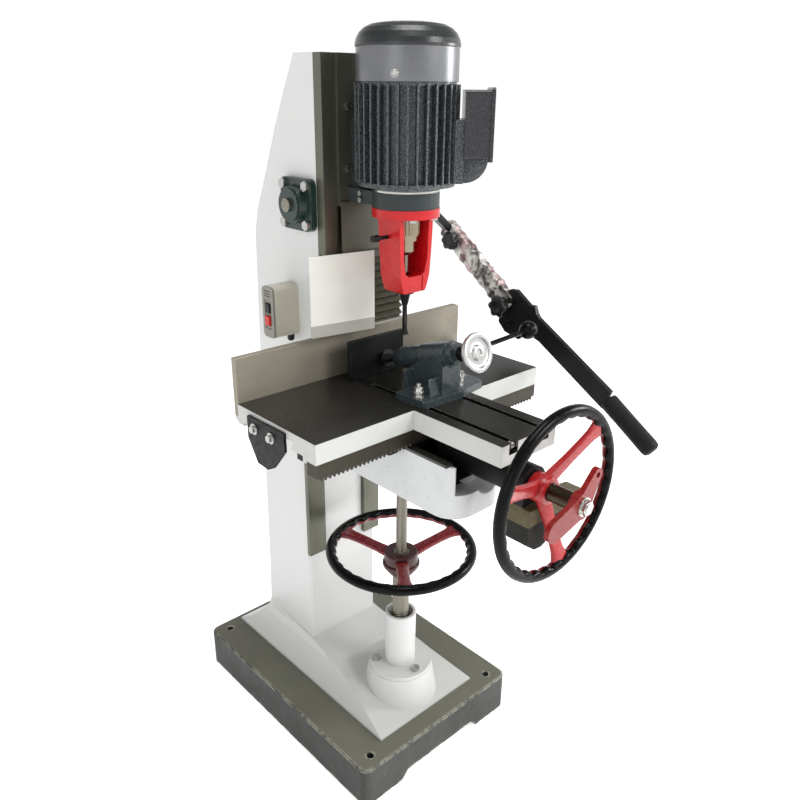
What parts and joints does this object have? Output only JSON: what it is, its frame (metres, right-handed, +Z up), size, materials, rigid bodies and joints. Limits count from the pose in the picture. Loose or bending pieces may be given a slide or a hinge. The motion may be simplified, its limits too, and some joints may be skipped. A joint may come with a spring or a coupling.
{
  "type": "hollow chisel mortiser",
  "caption": "Floor-standing hollow-chisel mortiser with column, knee, sliding table with fence and screw vise, handwheels, and a motor head fed down by a long lever.",
  "frame": {"origin": "middle of the base's underside, at the centre of the four floor bolt holes", "axes": "+X to the operator's right, -Y towards the operator, +Z up along the column"},
  "size_m": [0.652, 0.908, 1.481],
  "materials": {
    "base_enamel": "semi-gloss, chipped edges",
    "machine_enamel": "gloss enamel on cast iron",
    "way_steel": "ground and oiled",
    "way_cover": "pleated, satin",
    "panel_paint": "satin",
    "green_iron": "dark green enamel",
    "zinc": "zinc plated",
    "switch_plastic": "moulded",
    "switch_grey": "moulded",
    "button_black": "moulded",
    "button_red": "moulded",
    "black_iron": "satin black paint",
    "motor_enamel": "hammered dark grey",
    "cover_enamel": "gloss dark grey",
    "red_enamel": "gloss enamel on rough casting",
    "black_plastic": "moulded",
    "tool_steel": "turned",
    "grip_rubber": "satin",
    "nut_brass": "turned",
    "olive_iron": "olive enamel",
    "table_iron": "oiled, ground top, enamelled sides",
    "fence_iron": "ground",
    "rack_steel": "oiled",
    "wheel_iron": "black rim, red spokes",
    "vise_iron": "dark enamel",
    "wheel_chrome": "polished",
    "lever_plate": "bright plated"
  },
  "bodies": {
    "frame": {"base_plate": "base_enamel", "column": "machine_enamel", "head_way_plate": "way_steel", "head_keeper_bars": "way_steel", "knee_way_strips": "way_steel", "way_bellows": "way_cover", "plain_panel": "panel_paint", "lift_nut_tube": "machine_enamel", "lever_bearings": "green_iron", "frame_bolts": "zinc", "switch_box": "switch_plastic", "switch_front": "switch_grey"},
    "start_key": {"start_button": "button_black"},
    "stop_key": {"stop_button": "button_red"},
    "head": {"head_slide": "black_iron", "head_rack": "way_steel", "head_bolts": "zinc", "head_bracket": "black_iron", "motor_frame": "motor_enamel", "motor_fan_cover": "cover_enamel", "terminal_box": "motor_enamel", "terminal_box_lid": "motor_enamel", "chisel_yoke": "red_enamel", "hollow_chisel": "tool_steel"},
    "side_handle": {"yoke_side_handle": "black_plastic"},
    "lock_lever": {"chisel_lock_lever": "black_iron"},
    "spindle": {"motor_rotor": "way_steel", "motor_fan": "black_plastic", "drill_chuck": "tool_steel", "mortise_bit": "tool_steel"},
    "lever": {"lever_shaft": "way_steel", "feed_gear": "way_steel", "lever_arm": "black_iron", "lever_sleeve": "lever_plate", "lever_bar": "black_iron", "lever_grip": "grip_rubber"},
    "knob_upper": {"lever_knob_upper": "black_plastic"},
    "knob_lower": {"lever_knob_lower": "black_plastic"},
    "knee": {"knee_casting": "machine_enamel", "knee_keepers": "black_iron", "cross_feed_nut": "nut_brass"},
    "lift_wheel": {"lift_handwheel": "wheel_iron", "lift_screw": "tool_steel"},
    "cross_slide": {"saddle": "black_iron", "feed_shaft_housing": "black_iron", "feed_bearing_block": "olive_iron"},
    "table": {"table_casting": "table_iron", "fence": "fence_iron", "table_rack": "rack_steel", "table_end_plates": "black_iron", "table_bolts": "zinc", "vise_body": "vise_iron"},
    "feed_wheel": {"feed_handwheel": "wheel_iron", "feed_pinion_shaft": "way_steel"},
    "crank": {"cross_crank": "red_enamel", "cross_screw": "tool_steel"},
    "vise_jaws": {"vise_ram": "tool_steel", "vise_jaw": "black_iron"},
    "vise_wheel": {"vise_handwheel": "wheel_chrome"},
    "ball_lever": {"vise_ball_lever": "black_plastic"}
  },
  "joints": [
    {"name": "start_press", "type": "slide", "parent": "frame", "child": "start_key", "axis": [1, 0, 0], "range_m": [0, 0.003], "stiffness_N_per_m": 300},
    {"name": "stop_press", "type": "slide", "parent": "frame", "child": "stop_key", "axis": [1, 0, 0], "range_m": [0, 0.003], "stiffness_N_per_m": 300},
    {"name": "head_slide_z", "type": "slide", "parent": "frame", "child": "head", "axis": [0, 0, 1], "range_m": [-0.085, 0]},
    {"name": "lever_turn", "type": "hinge", "parent": "frame", "child": "lever", "pos_m": [0, 0.012, 1.178], "axis": [1, 0, 0], "range_deg": [0, 81.5]},
    {"name": "side_handle_turn", "type": "hinge", "parent": "head", "child": "side_handle", "pos_m": [-0.05, -0.168, 1.134], "axis": [1, 0, 0], "range_deg": [-180, 180]},
    {"name": "chisel_lock_turn", "type": "hinge", "parent": "head", "child": "lock_lever", "pos_m": [0, -0.172, 1.02], "axis": [0, 0, 1], "range_deg": [-35, 35]},
    {"name": "spindle_spin", "type": "hinge", "parent": "head", "child": "spindle", "pos_m": [0, -0.172, 1.2], "axis": [0, 0, 1], "continuous": true},
    {"name": "knob_upper_turn", "type": "hinge", "parent": "lever", "child": "knob_upper", "pos_m": [0.31, 0.01, 1.061], "axis": [1, 0, 0], "range_deg": [-180, 180]},
    {"name": "knob_lower_turn", "type": "hinge", "parent": "lever", "child": "knob_lower", "pos_m": [0.31, -0.141, 0.939], "axis": [1, 0, 0], "range_deg": [-180, 180]},
    {"name": "knee_rise", "type": "slide", "parent": "frame", "child": "knee", "axis": [0, 0, 1], "range_m": [-0.1, 0.01]},
    {"name": "lift_wheel_spin", "type": "hinge", "parent": "knee", "child": "lift_wheel", "pos_m": [0, -0.17, 0.46], "axis": [0, 0, 1], "range_deg": [-3602, 362]},
    {"name": "saddle_slide", "type": "slide", "parent": "knee", "child": "cross_slide", "axis": [0, 1, 0], "range_m": [-0.12, 0.01]},
    {"name": "crank_spin", "type": "hinge", "parent": "cross_slide", "child": "crank", "pos_m": [0.018, -0.58, 0.743], "axis": [0, 1, 0], "range_deg": [-4322, 362]},
    {"name": "table_slide", "type": "slide", "parent": "cross_slide", "child": "table", "axis": [1, 0, 0], "range_m": [-0.1105, 0.1105]},
    {"name": "feed_wheel_spin", "type": "hinge", "parent": "cross_slide", "child": "feed_wheel", "pos_m": [0.018, -0.537, 0.743], "axis": [0, 1, 0], "range_deg": [-235, 235]},
    {"name": "vise_feed", "type": "slide", "parent": "table", "child": "vise_jaws", "axis": [0, 0.9588, -0.284], "range_m": [-0.028, 0.003]},
    {"name": "vise_wheel_spin", "type": "hinge", "parent": "table", "child": "vise_wheel", "pos_m": [0.032, -0.32915, 0.94106], "axis": [0, 0.9588, -0.284], "range_deg": [-2020, 218]},
    {"name": "ball_lever_turn", "type": "hinge", "parent": "table", "child": "ball_lever", "pos_m": [0.032, -0.29751, 0.93169], "axis": [0, -0.9588, 0.284], "range_deg": [-30, 40]}
  ],
  "couplings": [
    {"joint": "lever_turn", "follows": "head_slide_z", "rad_per_m": -16.667},
    {"joint": "lift_wheel_spin", "follows": "knee_rise", "rad_per_m": 628.32},
    {"joint": "crank_spin", "follows": "saddle_slide", "rad_per_m": 628.32},
    {"joint": "feed_wheel_spin", "follows": "table_slide", "rad_per_m": 37.037},
    {"joint": "vise_wheel_spin", "follows": "vise_feed", "rad_per_m": 1256.6}
  ]
}
